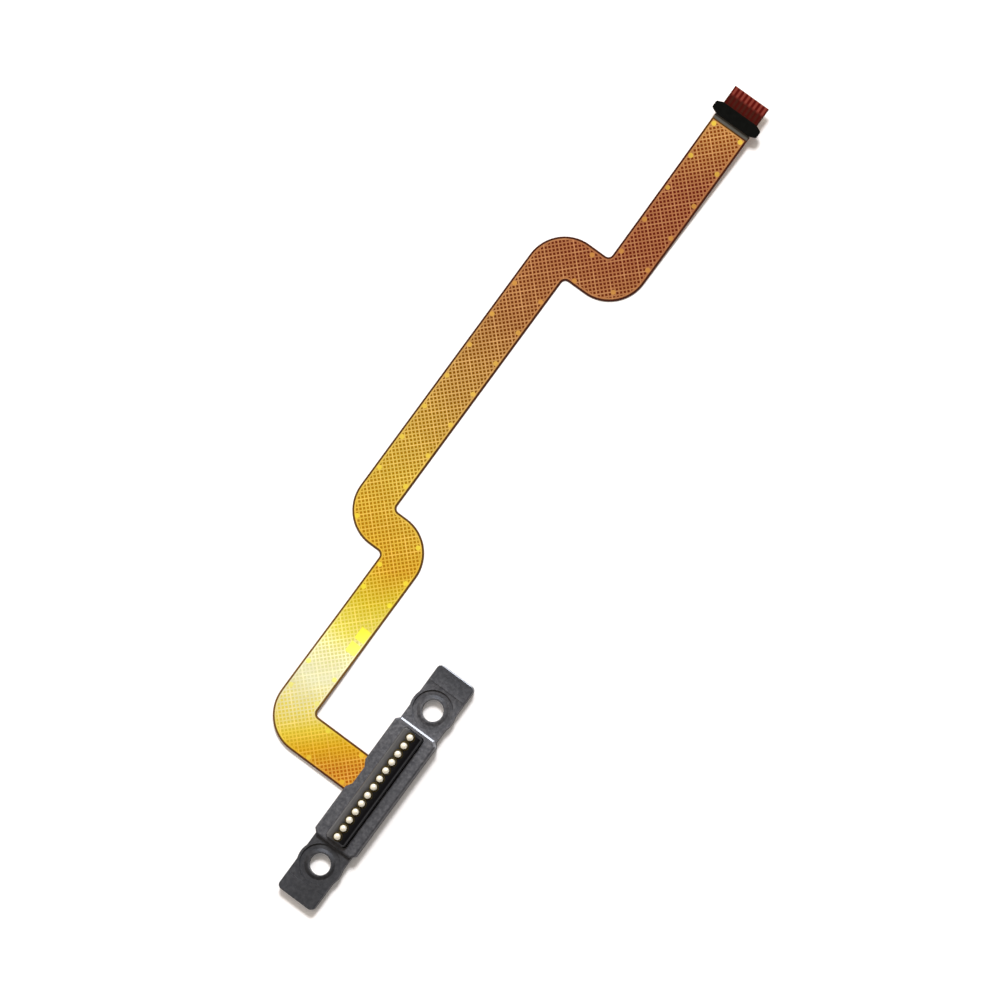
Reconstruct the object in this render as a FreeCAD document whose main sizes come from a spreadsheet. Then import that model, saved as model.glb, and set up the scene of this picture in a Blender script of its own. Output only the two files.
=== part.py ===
# A flexible circuit strip with a moulded spring-contact connector at one end and a stiffened,
# eared plug-in tail at the other.
#
# Frame: millimetres. The origin is midway between the two screw holes, on the face that the
# connector is screwed down by. +X runs along the row of contacts and along the strip's three
# straight runs, +Y is the side on which the strip leaves the connector, and +Z points out of
# the contacts.

import FreeCAD
import Part
import Sketcher

import math
import os
import re

V = FreeCAD.Vector

SIZES = {
    # Moulded bracket
    "bracket_length": 27.1,
    "tab_width": 4.3,
    "tab_height": 1.2,
    "tab_corner": 0.5,
    "tab_bevel": 0.07,
    "end_pad_length": 1.85,
    "end_pad_rise": 0.08,
    "screw_spacing": 18.7,
    "screw_hole": 2.2,
    "lobe_width": 4.6,
    "recess_width": 4.1,
    "recess_depth": 0.25,
    "collar_width": 3.1,
    "collar_top_width": 2.5,
    "collar_rise": 0.12,
    "block_shoulder": 0.5,
    "block_width": 4.9,
    "block_height": 1.9,
    "block_corner": 0.45,
    "block_bevel": 0.18,
    "block_roof": 0.55,
    "block_side_wall": 0.55,
    "block_end_wall": 0.45,
    "relief_mouth": 3.5,
    "relief_floor": 2.0,
    "relief_depth": 0.42,
    # Glossy carrier that holds the contacts
    "nose_end_wall": 0.205,
    "nose_width": 2.3,
    "nose_rise": 0.9,
    "nose_round": 0.45,
    "nose_end_bevel": 0.2,
    "carrier_lip": 0.4,
    "fit_gap": 0.05,
    # Spring contacts
    "contact_count": 13,
    "contact_pitch": 1.0,
    "rod_width": 0.66,
    "dome_height": 0.22,
    "contact_play": 0.025,
    "contact_travel": 0.4,
    "contact_stand": 0.12,
    "shoulder_width": 0.74,
    "shoulder_height": 0.25,
    "shoulder_gap": 0.02,
    "spring_wire": 0.08,
    "spring_width": 0.64,
    "spring_turns": 3,
    "spring_gap": 0.01,
    "solder_height": 0.08,
    "solder_width": 0.7,
    # Flexible strip
    "strip_width": 4.2,
    "film_thickness": 0.12,
    "exit_lift": 0.4,
    "inner_round": 0.5,
    "first_run": 11.3,
    "second_run": 17.05,
    "third_run": 10.35,
    "first_step": 20.9,
    "second_step": 53.38,
    "tail_end": 76.5,
    "drop_start": 3.0,
    "drop_end": 14.0,
    "rise_start": 48.0,
    "rise_end": 70.0,
    "tail_slope": 4.2,
    "head_margin": 0.1,
    "head_stiffener": 0.3,
    # Copper shield under the strip's top cover
    "shield_margin": 0.2,
    "shield_thickness": 0.02,
    "shield_start": 2.05,
    "shield_end_gap": 3.9,
    # Plug-in tail
    "tail_width": 4.05,
    "tail_plate_length": 3.3,
    "tail_plate_thickness": 0.12,
    "adhesive_length": 3.75,
    "adhesive_thickness": 0.04,
    "bar_near_gap": 2.0,
    "bar_length": 1.3,
    "bar_thickness": 0.22,
    "ear_reach": 0.65,
    "ear_tip": 0.75,
    "ear_round": 0.2,
    "finger_pitch": 0.5,
    "finger_width": 0.3,
    "finger_thickness": 0.03,
    "far_finger_count": 8,
    "far_finger_length": 0.9,
    "near_finger_length": 0.95,
    "ridge_height": 0.02,
}

doc = FreeCAD.newDocument("flex_strip")
sheet = doc.addObject("Spreadsheet::Sheet", "sizes")
for row, (name, value) in enumerate(SIZES.items(), start=1):
    sheet.set(f"A{row}", name)
    sheet.set(f"B{row}", str(value))
    sheet.setAlias(f"B{row}", name)
doc.recompute()


def cell(text):
    """Turn size names in an expression into references to the sheet's cells."""
    return re.sub(r"[a-z_]+[a-z]", lambda m: f"sizes.{m.group()}" if m.group() in SIZES else m.group(), text)


def size(text):
    """The present value of an expression of size names."""
    value = sheet.evalExpression(cell(text))
    return float(getattr(value, "Value", value))


# Heights and lengths that several pieces share
FILM_TOP = "(exit_lift + film_thickness)"
SEAT = "(exit_lift + film_thickness + solder_height)"
CAVITY_TOP = "(block_height - block_roof)"
NOSE_TOP = "(block_height + nose_rise)"
LIP_UNDER = "(block_height + nose_rise - carrier_lip)"
SHOULDER_TOP = f"({LIP_UNDER} - shoulder_gap)"
SHOULDER_FOOT = f"({LIP_UNDER} - shoulder_gap - shoulder_height)"
CONTACT_TIP = f"({NOSE_TOP} + contact_travel + contact_stand)"
DOME_FOOT = f"({NOSE_TOP} + contact_travel + contact_stand - dome_height)"
NOSE_LENGTH = ("((contact_count - 1) * contact_pitch + shoulder_width"
               " + 2 * contact_play + 2 * nose_end_wall)")
BLOCK_LENGTH = f"({NOSE_LENGTH} + 2 * block_shoulder)"
CAVITY_LENGTH = f"({BLOCK_LENGTH} - 2 * block_end_wall)"
CAVITY_WIDTH = "(block_width - 2 * block_side_wall)"
BAR_END = "(tail_end - bar_near_gap)"
BAR_START = "(tail_end - bar_near_gap - bar_length)"
CONTACT_ROW_START = "(-(contact_count - 1) / 2 * contact_pitch)"
HEAD_X = f"({CAVITY_LENGTH} / 2 - head_margin)"
HEAD_Y = f"({CAVITY_WIDTH} / 2 - head_margin)"


def new_body(label, height=None):
    """An empty body, raised to a height where one is given."""
    body = doc.addObject("PartDesign::Body", label)
    body.Label = label
    if height is not None:
        body.setExpression("Placement.Base.z", cell(height))
    return body


def new_sketch(body, role="XY_Plane", height=None):
    """A sketch on one of the body's own origin planes."""
    sketch = body.newObject("Sketcher::SketchObject", f"{body.Label}_sketch")
    plane = [item for item in body.Origin.OriginFeatures if item.Role == role][0]
    sketch.AttachmentSupport = [(plane, "")]
    sketch.MapMode = "FlatFace"
    if height is not None:
        sketch.setExpression("AttachmentOffset.Base.z", cell(height))
    return sketch


def polygon(sketch, corners):
    """Closed straight outline. Each corner is a pair of expressions, and stays bound to them."""
    places = [V(size(x), size(y), 0) for x, y in corners]
    first = sketch.GeometryCount
    count = len(corners)
    for index in range(count):
        sketch.addGeometry(Part.LineSegment(places[index], places[(index + 1) % count]))
    for index in range(count):
        line = first + index
        following = first + (index + 1) % count
        sketch.addConstraint(Sketcher.Constraint("Coincident", line, 2, following, 1))
    for index, (x, y) in enumerate(corners):
        for kind, text, value in (("DistanceX", x, places[index].x), ("DistanceY", y, places[index].y)):
            number = sketch.addConstraint(Sketcher.Constraint(kind, -1, 1, first + index, 1, value))
            sketch.setExpression(f"Constraints[{number}]", cell(text))


def rectangle(sketch, low_x, low_y, high_x, high_y):
    polygon(sketch, [(low_x, low_y), (high_x, low_y), (high_x, high_y), (low_x, high_y)])


def cut_rectangle(sketch, far_x, far_y, cut):
    """Rectangle about the sketch's origin with its corners cut off at 45 degrees."""
    cut_x, cut_y = f"({far_x} - {cut})", f"({far_y} - {cut})"
    polygon(sketch, [
        (f"-{cut_x}", f"-{far_y}"), (cut_x, f"-{far_y}"), (far_x, f"-{cut_y}"), (far_x, cut_y),
        (cut_x, far_y), (f"-{cut_x}", far_y), (f"-{far_x}", cut_y), (f"-{far_x}", f"-{cut_y}"),
    ])


def circle(sketch, x, y, width):
    """Circle whose centre and width are expressions."""
    centre = V(size(x), size(y), 0)
    index = sketch.addGeometry(Part.Circle(centre, V(0, 0, 1), size(width) / 2))
    bound = (("DistanceX", x, centre.x), ("DistanceY", y, centre.y))
    for kind, text, value in bound:
        number = sketch.addConstraint(Sketcher.Constraint(kind, -1, 1, index, 3, value))
        sketch.setExpression(f"Constraints[{number}]", cell(text))
    number = sketch.addConstraint(Sketcher.Constraint("Diameter", index, size(width)))
    sketch.setExpression(f"Constraints[{number}]", cell(width))


def pad(body, sketch, length, midplane=False, taper=None):
    """Raise a sketch by a length. A taper draws the sides in by an angle as they rise."""
    feature = body.newObject("PartDesign::Pad", f"{body.Label}_pad")
    feature.Profile = sketch
    feature.Midplane = midplane
    feature.setExpression("Length", cell(length))
    if taper is not None:
        feature.setExpression("TaperAngle", cell(taper))
    doc.recompute()
    return feature


def pocket(body, sketch, length):
    """Cut upwards from the sketch by a length, and make sure that something was removed."""
    before = body.Shape.Volume
    feature = body.newObject("PartDesign::Pocket", f"{body.Label}_pocket")
    feature.Profile = sketch
    feature.Reversed = True
    feature.setExpression("Length", cell(length))
    doc.recompute()
    if not body.Shape.Volume < before:
        raise RuntimeError(f"{body.Label}: a pocket removed nothing")
    return feature


def revolve(body, sketch):
    """Turn a profile drawn on the XZ plane about the body's own Z axis."""
    feature = body.newObject("PartDesign::Revolution", f"{body.Label}_turned")
    feature.Profile = sketch
    feature.ReferenceAxis = (sketch, ["V_Axis"])
    feature.Angle = 360
    doc.recompute()
    return feature


def dress(body, kind, amount, chosen):
    """Fillet or chamfer the edges of the body's last feature that a test chooses."""
    base = body.Tip
    names = [f"Edge{n}" for n, edge in enumerate(base.Shape.Edges, start=1) if chosen(edge)]
    if not names:
        raise RuntimeError(f"{body.Label}: no edge to dress")
    feature = body.newObject(f"PartDesign::{kind}", f"{body.Label}_{kind.lower()}")
    feature.Base = (base, names)
    feature.setExpression("Radius" if kind == "Fillet" else "Size", cell(amount))
    doc.recompute()
    return feature


def near(value, target):
    return abs(value - target) < 1e-4


def is_upright(edge):
    box = edge.BoundBox
    return box.XLength < 1e-4 and box.YLength < 1e-4


def lies_at(edge, height):
    return near(edge.BoundBox.ZMin, height) and near(edge.BoundBox.ZMax, height)


# Moulded bracket: two screw tabs, the block between them and everything cut into it


def make_bracket():
    body = new_body("bracket")
    half_length = "bracket_length / 2"
    half_tab = "tab_width / 2"

    tabs = new_sketch(body)
    rectangle(tabs, f"-{half_length}", f"-{half_tab}", half_length, half_tab)
    pad(body, tabs, "tab_height")
    for low, high in (("-bracket_length / 2", "-bracket_length / 2 + end_pad_length"),
                      ("bracket_length / 2 - end_pad_length", "bracket_length / 2")):
        end_pad = new_sketch(body)
        rectangle(end_pad, low, f"-{half_tab}", high, half_tab)
        pad(body, end_pad, "tab_height + end_pad_rise")
    dress(body, "Fillet", "tab_corner",
          lambda edge: is_upright(edge) and near(abs(edge.BoundBox.XMin), size(half_length)))
    pad_top = size("tab_height + end_pad_rise")
    step = size("bracket_length / 2 - end_pad_length")
    dress(body, "Chamfer", "tab_bevel",
          lambda edge: lies_at(edge, pad_top) and abs(edge.CenterOfMass.x) > step + 0.01)

    lobes = new_sketch(body)
    circle(lobes, "-screw_spacing / 2", "0", "lobe_width")
    circle(lobes, "screw_spacing / 2", "0", "lobe_width")
    pad(body, lobes, "tab_height")

    block = new_sketch(body)
    far_y = "block_width / 2"
    cut_rectangle(block, f"{BLOCK_LENGTH} / 2", far_y, "block_corner")
    pad(body, block, "block_height")
    block_top = size("block_height")
    dress(body, "Chamfer", "block_bevel", lambda edge: lies_at(edge, block_top))

    recesses = new_sketch(body, height="tab_height - recess_depth")
    circle(recesses, "-screw_spacing / 2", "0", "recess_width")
    circle(recesses, "screw_spacing / 2", "0", "recess_width")
    pocket(body, recesses, "block_height")

    collars = new_sketch(body, height="tab_height - recess_depth")
    circle(collars, "-screw_spacing / 2", "0", "collar_width")
    circle(collars, "screw_spacing / 2", "0", "collar_width")
    pad(body, collars, "collar_rise", taper="-atan((collar_width - collar_top_width) / 2 / collar_rise)")

    holes = new_sketch(body)
    circle(holes, "-screw_spacing / 2", "0", "screw_hole")
    circle(holes, "screw_spacing / 2", "0", "screw_hole")
    pocket(body, holes, "block_height")

    cavity = new_sketch(body)
    rectangle(cavity, f"-{CAVITY_LENGTH} / 2", f"-{CAVITY_WIDTH} / 2",
              f"{CAVITY_LENGTH} / 2", f"{CAVITY_WIDTH} / 2")
    pocket(body, cavity, CAVITY_TOP)

    window = new_sketch(body)
    cut_rectangle(window, f"({NOSE_LENGTH} / 2 + fit_gap)", "(nose_width / 2 + fit_gap)", "nose_end_bevel")
    pocket(body, window, "2 * block_height")

    # The strip shows through a shallow relief in the wall above it
    relief = new_sketch(body)
    polygon(relief, [
        ("-relief_floor / 2", f"{far_y} - relief_depth"), ("relief_floor / 2", f"{far_y} - relief_depth"),
        ("relief_mouth / 2", f"{far_y} + fit_gap"), ("-relief_mouth / 2", f"{far_y} + fit_gap"),
    ])
    pocket(body, relief, "2 * block_height")

    slot = new_sketch(body)
    rectangle(slot, "-(strip_width / 2 + fit_gap)", f"{CAVITY_WIDTH} / 2 - fit_gap",
              "strip_width / 2 + fit_gap", f"{far_y} + fit_gap")
    pocket(body, slot, SEAT)
    return body


# Carrier: a glossy bar through the bracket's window, on a flange that the bracket's roof holds.
# Under each contact it has a square pocket, which a thin lip with a round mouth closes at the top.


def make_carrier():
    body = new_body("contact_carrier", FILM_TOP)
    flange_x = f"({CAVITY_LENGTH} / 2 - fit_gap)"
    flange_y = f"({CAVITY_WIDTH} / 2 - fit_gap)"
    flange = new_sketch(body)
    rectangle(flange, f"-{flange_x}", f"-{flange_y}", flange_x, flange_y)
    pad(body, flange, f"{CAVITY_TOP} - {FILM_TOP}")

    # YZ plane: the sketch's X is the body's Y, and its Y is the body's Z
    nose = new_sketch(body, role="YZ_Plane")
    rectangle(nose, "-nose_width / 2", "0", "nose_width / 2", f"{NOSE_TOP} - {FILM_TOP}")
    pad(body, nose, NOSE_LENGTH, midplane=True)
    top = size(f"{NOSE_TOP} - {FILM_TOP}")
    dress(body, "Fillet", "nose_round",
          lambda edge: lies_at(edge, top) and edge.BoundBox.YLength < 1e-4)
    end = size(f"{NOSE_LENGTH} / 2")
    ledge = size(f"{CAVITY_TOP} - {FILM_TOP}")
    dress(body, "Chamfer", "nose_end_bevel",
          lambda edge: edge.BoundBox.XLength < 1e-4 and near(abs(edge.BoundBox.XMin), end)
          and edge.BoundBox.ZMin > ledge - 1e-4 and edge.CenterOfMass.z > ledge + 1e-3)

    half_pocket = "(shoulder_width / 2 + contact_play)"
    well = new_sketch(body)
    rectangle(well, f"{CONTACT_ROW_START} - {half_pocket}", f"-{half_pocket}",
              f"{CONTACT_ROW_START} + {half_pocket}", half_pocket)
    first_well = pocket(body, well, f"{LIP_UNDER} - {FILM_TOP}")
    mouth = new_sketch(body)
    circle(mouth, CONTACT_ROW_START, "0", "rod_width + 2 * contact_play")
    first_mouth = pocket(body, mouth, NOSE_TOP)
    row = body.newObject("PartDesign::LinearPattern", "carrier_hole_row")
    row.Originals = [first_well, first_mouth]
    row.Direction = (mouth, ["H_Axis"])
    row.setExpression("Length", cell("(contact_count - 1) * contact_pitch"))
    row.setExpression("Occurrences", cell("contact_count"))
    body.Tip = row
    doc.recompute()
    return body


# Spring contacts: a domed plunger whose square foot the carrier's lip holds in, and its spring


def place_in_row(feature, index):
    feature.setExpression("Placement.Base.x", cell(f"{CONTACT_ROW_START} + {index} * contact_pitch"))


def dome_profile(sketch):
    """Half section of a plunger above its foot: a straight rod under a domed end."""
    rod, foot = size("rod_width / 2"), size(SHOULDER_TOP)
    rise, tip = size(DOME_FOOT), size(CONTACT_TIP)
    height = tip - rise
    reach = (rod ** 2 + height ** 2) / (2 * height)
    dome = Part.Circle(V(0, tip - reach, 0), V(0, 0, 1), reach)
    lines = [
        Part.LineSegment(V(0, foot, 0), V(rod, foot, 0)),
        Part.LineSegment(V(rod, foot, 0), V(rod, rise, 0)),
        Part.ArcOfCircle(dome, math.atan2(rise - tip + reach, rod), math.pi / 2),
        Part.LineSegment(V(0, tip, 0), V(0, foot, 0)),
    ]
    for line in lines:
        sketch.addGeometry(line)
    for first, second in ((0, 1), (1, 2), (2, 3), (3, 0)):
        sketch.addConstraint(Sketcher.Constraint("Coincident", first, 2, second, 1))
    sketch.addConstraint(Sketcher.Constraint("PointOnObject", 2, 3, -2))
    bound = (("DistanceX", 0, "0"), ("DistanceY", 0, SHOULDER_TOP), ("DistanceX", 1, "rod_width / 2"),
             ("DistanceY", 1, SHOULDER_TOP), ("DistanceX", 2, "rod_width / 2"), ("DistanceY", 2, DOME_FOOT),
             ("DistanceX", 3, "0"), ("DistanceY", 3, CONTACT_TIP))
    for kind, line, text in bound:
        number = sketch.addConstraint(Sketcher.Constraint(kind, -1, 1, line, 1, size(text)))
        sketch.setExpression(f"Constraints[{number}]", cell(text))


def make_plunger(index):
    body = new_body(f"contact_plunger_{index + 1:02d}")
    shoulder = new_sketch(body, height=SHOULDER_FOOT)
    half = "shoulder_width / 2"
    rectangle(shoulder, f"-{half}", f"-{half}", half, half)
    pad(body, shoulder, "shoulder_height")
    rod = new_sketch(body, role="XZ_Plane")
    dome_profile(rod)
    revolve(body, rod)
    place_in_row(body, index)
    return body


def make_spring(index):
    """Coil of square wire, six straight chords to a turn, from the solder up to the plunger."""
    wire = size("spring_wire")
    outer = size("spring_width") / 2
    low = size(SEAT)
    high = size(SHOULDER_FOOT) - wire - size("spring_gap")
    chords = 6
    steps = int(size("spring_turns")) * chords
    sections = []
    for step in range(steps + 1):
        angle = 2 * math.pi * step / chords
        out = V(math.cos(angle), math.sin(angle), 0)
        foot = V(0, 0, low + (high - low) * step / steps)
        up = V(0, 0, wire)
        sections.append([foot + out * (outer - wire), foot + out * outer,
                         foot + out * outer + up, foot + out * (outer - wire) + up])
    rings = []
    for here, following in zip(sections, sections[1:]):
        for side in range(4):
            a, b = here[side], here[(side + 1) % 4]
            c, d = following[(side + 1) % 4], following[side]
            # the wire's outer and inner sides are flat, its top and underside twist
            rings += [[a, b, c, d]] if side in (1, 3) else [[a, b, c], [a, c, d]]
    rings += [sections[0], sections[-1]]
    faces = [Part.Face(Part.makePolygon(ring + ring[:1])) for ring in rings]
    feature = doc.addObject("Part::Feature", f"contact_spring_{index + 1:02d}")
    feature.Label = f"contact_spring_{index + 1:02d}"
    feature.Shape = Part.Solid(Part.Shell(faces))
    if feature.Shape.Volume < 0:
        feature.Shape = feature.Shape.reversed()
    place_in_row(feature, index)
    return feature


def make_solder():
    """Soldered pad under each spring, inside the carrier's pockets."""
    body = new_body("solder_joints", FILM_TOP)
    pads = new_sketch(body)
    for index in range(int(size("contact_count"))):
        middle = f"{CONTACT_ROW_START} + {index} * contact_pitch"
        rectangle(pads, f"{middle} - solder_width / 2", "-solder_width / 2",
                  f"{middle} + solder_width / 2", "solder_width / 2")
    pad(body, pads, "solder_height")
    return body


def make_head_stiffener():
    """Stiff plate under the strip's head, flush in the bracket's underside."""
    body = new_body("head_stiffener", "exit_lift - head_stiffener")
    outline = new_sketch(body)
    rectangle(outline, f"-{HEAD_X}", f"-{HEAD_Y}", HEAD_X, HEAD_Y)
    pad(body, outline, "head_stiffener")
    return body


# Strip. Each of its layers is a thin sheet with the strip's side profile, cut to a plan outline


def profile_points(offset):
    """Corners and mid-points of the strip's underside seen from the side, raised by an offset.

    The strip leaves the connector level, comes down to the table in two equal arcs, lies on it,
    and lifts in one long arc to the straight, sloping tail.
    """
    lift = size("exit_lift")
    drop_start, drop_end = size("drop_start"), size("drop_end")
    rise_start, rise_end = size("rise_start"), size("rise_end")
    slope = math.radians(size("tail_slope"))
    span = drop_end - drop_start
    bend = (span ** 2 + lift ** 2) / (4 * lift)
    turn = math.asin(span / 2 / bend)
    climb = (rise_end - rise_start) / math.sin(slope)
    over, under = V(drop_start, 0, lift - bend), V(drop_end, 0, bend)
    rise = V(rise_start, 0, climb)
    beyond = size("tail_end") + size("strip_width") - rise_end

    def on_arc(centre, radius, angle):
        return centre + V(radius * math.sin(angle), 0, radius * math.cos(angle))

    lifted = on_arc(rise, -(climb - offset), -slope)
    return [
        [V(-size(BLOCK_LENGTH), 0, lift + offset), V(drop_start, 0, lift + offset)],
        [V(drop_start, 0, lift + offset), on_arc(over, bend + offset, turn / 2),
         on_arc(over, bend + offset, turn)],
        [on_arc(over, bend + offset, turn), on_arc(under, -(bend - offset), turn / 2),
         V(drop_end, 0, offset)],
        [V(drop_end, 0, offset), V(rise_start, 0, offset)],
        [V(rise_start, 0, offset), on_arc(rise, -(climb - offset), -slope / 2), lifted],
        [lifted, lifted + V(beyond, 0, beyond * math.tan(slope))],
    ]


def profile_edges(offset):
    edges = []
    for points in profile_points(offset):
        curve = Part.Arc(*points) if len(points) == 3 else Part.LineSegment(*points)
        edges.append(curve.toShape())
    return edges


def make_sheet(label, offset, thickness):
    """Sheet that follows the strip's side profile, wider than the whole strip."""
    lower = profile_edges(size(offset))
    upper = profile_edges(size(offset) + size(thickness))
    far_end = Part.makeLine(lower[-1].Vertexes[-1].Point, upper[-1].Vertexes[-1].Point)
    near_end = Part.makeLine(upper[0].Vertexes[0].Point, lower[0].Vertexes[0].Point)
    face = Part.Face(Part.Wire(lower + [far_end] + upper[::-1] + [near_end]))
    reach = size("second_run") + 2 * size("strip_width")
    feature = doc.addObject("Part::Feature", f"{label}_sheet")
    solid = face.extrude(V(0, 2 * reach, 0))
    feature.Shape = solid.translated(V(0, -reach, 0))
    return feature


def make_layer(label, offset, thickness, outline):
    """One layer of the strip: the sheet at an offset, cut to an outline prism."""
    layer = doc.addObject("Part::Common", label)
    layer.Label = label
    layer.Base = make_sheet(label, offset, thickness)
    layer.Tool = outline
    doc.recompute()
    return layer


def outline_prism(label, drawing):
    """Tall prism over a plan drawing, which cuts a layer to its outline."""
    body = new_body(f"{label}_outline", "-film_thickness")
    outline = new_sketch(body)
    drawing(outline)
    pad(body, outline, NOSE_TOP)
    return body


def strip_corners(inset, start, end):
    """Plan of the strip from a starting height on the arm to an end of the third run."""
    half = f"(strip_width / 2 - {inset})"
    return [
        (half, start),
        (half, f"first_run - {half}"),
        (f"first_step + {half}", f"first_run - {half}"),
        (f"first_step + {half}", f"second_run - {half}"),
        (f"second_step - {half}", f"second_run - {half}"),
        (f"second_step - {half}", f"third_run - {half}"),
        (end, f"third_run - {half}"),
        (end, f"third_run + {half}"),
        (f"second_step + {half}", f"third_run + {half}"),
        (f"second_step + {half}", f"second_run + {half}"),
        (f"first_step - {half}", f"second_run + {half}"),
        (f"first_step - {half}", f"first_run + {half}"),
        (f"-{half}", f"first_run + {half}"),
        (f"-{half}", start),
    ]


def round_strip(body, inset):
    """Every bend turns about its inner corner, so its outer edge is as round as the strip is wide."""
    half = f"(strip_width / 2 - {inset})"
    outer = [
        (f"first_step + {half}", f"first_run - {half}"),
        (f"second_step - {half}", f"third_run - {half}"),
        (f"second_step + {half}", f"second_run + {half}"),
        (f"first_step - {half}", f"second_run + {half}"),
        (f"-{half}", f"first_run + {half}"),
    ]
    inner = [
        (half, f"first_run - {half}"),
        (f"first_step + {half}", f"second_run - {half}"),
        (f"second_step - {half}", f"second_run - {half}"),
        (f"second_step + {half}", f"third_run + {half}"),
        (f"first_step - {half}", f"first_run + {half}"),
    ]
    for corners, radius in ((outer, f"strip_width - {inset}"), (inner, f"inner_round + {inset}")):
        places = [(size(x), size(y)) for x, y in corners]
        dress(body, "Fillet", radius,
              lambda edge: is_upright(edge) and any(
                  near(edge.BoundBox.XMin, x) and near(edge.BoundBox.YMin, y) for x, y in places))


def make_film():
    """Polyimide film in one piece: the flat head under the contacts, the strip and the plug-in tail."""
    def drawing(outline):
        half_tail = "(tail_width / 2)"
        corners = strip_corners("0", "0", BAR_START)
        # the tail is a little narrower from the bar on
        tail = [
            (BAR_START, f"third_run - {half_tail}"), ("tail_end", f"third_run - {half_tail}"),
            ("tail_end", f"third_run + {half_tail}"), (BAR_START, f"third_run + {half_tail}"),
        ]
        polygon(outline, corners[:7] + tail + corners[7:])

    prism = outline_prism("film", drawing)
    round_strip(prism, "0")
    strip = make_layer("film_strip", "0", "film_thickness", prism)
    head = new_body("film_head", "exit_lift")
    outline = new_sketch(head)
    rectangle(outline, f"-{HEAD_X}", f"-{HEAD_Y}", HEAD_X, HEAD_Y)
    pad(head, outline, "film_thickness")
    whole = doc.addObject("Part::MultiFuse", "flex_film")
    whole.Label = "flex_film"
    whole.Shapes = [strip, head]
    whole.Refine = True
    doc.recompute()
    return whole


def make_shield():
    """Copper shield layer, set in from the film's edges, from the connector to the tail."""
    prism = outline_prism("shield", lambda outline: polygon(
        outline, strip_corners("shield_margin", "shield_start", "tail_end - shield_end_gap")))
    round_strip(prism, "shield_margin")
    return make_layer("copper_shield", "film_thickness", "shield_thickness", prism)


# Plug-in tail: fingers under the film, and on top of it an adhesive, a stiff plate and an eared bar


def finger_rows(outline, count, low_x, high_x, width):
    """Plan of one row of fingers, spread evenly about the third run's centre line."""
    for index in range(int(size(count))):
        middle = f"third_run + ({index} - ({count} - 1) / 2) * finger_pitch"
        rectangle(outline, low_x, f"{middle} - {width} / 2", high_x, f"{middle} + {width} / 2")


FAR_ROW = ("far_finger_count", "tail_end - far_finger_length", "tail_end - shield_margin / 4")
NEAR_ROW = ("(far_finger_count - 1)", "tail_end - far_finger_length - near_finger_length",
            "tail_end - far_finger_length")
PLATE_FOOT = "(film_thickness + adhesive_thickness)"


def make_fingers(label, row):
    prism = outline_prism(label, lambda outline: finger_rows(outline, *row, "finger_width"))
    return make_layer(label, "-finger_thickness", "finger_thickness", prism)


def tail_prism(label, length):
    """Plan of a piece that covers the tail over a length from its end."""
    return outline_prism(label, lambda outline: rectangle(
        outline, f"tail_end - {length}", "third_run - tail_width / 2",
        "tail_end", "third_run + tail_width / 2"))


def make_adhesive():
    return make_layer("plate_adhesive", "film_thickness", "adhesive_thickness",
                      tail_prism("adhesive", "adhesive_length"))


def make_tail_plate():
    """Stiff plate on the tail. The fingers under it show through as low ridges."""
    plate = tail_prism("tail_plate", "tail_plate_length")
    whole = doc.addObject("Part::MultiFuse", "tail_stiffener")
    whole.Label = "tail_stiffener"
    ridges = [outline_prism(f"ridge_{number}", lambda outline, row=row: finger_rows(
        outline, *row, "finger_width")) for number, row in enumerate((FAR_ROW, NEAR_ROW))]
    whole.Shapes = [make_layer("tail_plate", PLATE_FOOT, "tail_plate_thickness", plate)] + [
        make_layer(f"ridges_{number}", PLATE_FOOT, "tail_plate_thickness + ridge_height", prism)
        for number, prism in enumerate(ridges)]
    doc.recompute()
    return whole


def make_bar():
    """Black bar across the tail, with an ear at each side that a socket's latch holds."""
    half_tail = "(tail_width / 2)"
    tip = f"({half_tail} + ear_reach)"
    middle = f"({BAR_START} + {BAR_END}) / 2"

    def drawing(outline):
        polygon(outline, [
            (BAR_START, f"third_run - {half_tail}"),
            (f"{middle} - ear_tip / 2", f"third_run - {tip}"),
            (f"{middle} + ear_tip / 2", f"third_run - {tip}"),
            (BAR_END, f"third_run - {half_tail}"),
            (BAR_END, f"third_run + {half_tail}"),
            (f"{middle} + ear_tip / 2", f"third_run + {tip}"),
            (f"{middle} - ear_tip / 2", f"third_run + {tip}"),
            (BAR_START, f"third_run + {half_tail}"),
        ])

    prism = outline_prism("bar", drawing)
    reach = size(tip)
    centre = size("third_run")
    dress(prism, "Fillet", "ear_round",
          lambda edge: is_upright(edge) and near(abs(edge.BoundBox.YMin - centre), reach))
    return make_layer("eared_bar", f"{PLATE_FOOT} + tail_plate_thickness", "bar_thickness", prism)


def main():
    pieces = [make_bracket(), make_carrier(), make_solder(), make_head_stiffener()]
    for index in range(int(size("contact_count"))):
        pieces.append(make_plunger(index))
        pieces.append(make_spring(index))
    pieces += [make_film(), make_shield()]
    pieces += [make_fingers("far_fingers", FAR_ROW), make_fingers("near_fingers", NEAR_ROW)]
    pieces += [make_adhesive(), make_tail_plate(), make_bar()]
    doc.recompute()
    faults = [f"{item.Label}: {item.State}" for item in doc.Objects
              if "Invalid" in item.State or "Error" in item.State]
    faults += [f"{piece.Label}: bad shape" for piece in pieces
               if piece.Shape.isNull() or not piece.Shape.isValid()]
    if faults:
        raise RuntimeError("; ".join(faults))
    os.makedirs("parts", exist_ok=True)
    for piece in pieces:
        piece.Shape.exportStep(f"parts/{piece.Label}.step")
    print(len(pieces), "pieces")


main()
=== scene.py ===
# Looks of a flexible circuit strip with a spring-contact connector and a stiffened plug-in tail.
# Lengths are in millimetres, in the part's own frame, and turned into metres where meshes are made.

import math

import bpy
from mathutils import Matrix, Vector, geometry


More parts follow.
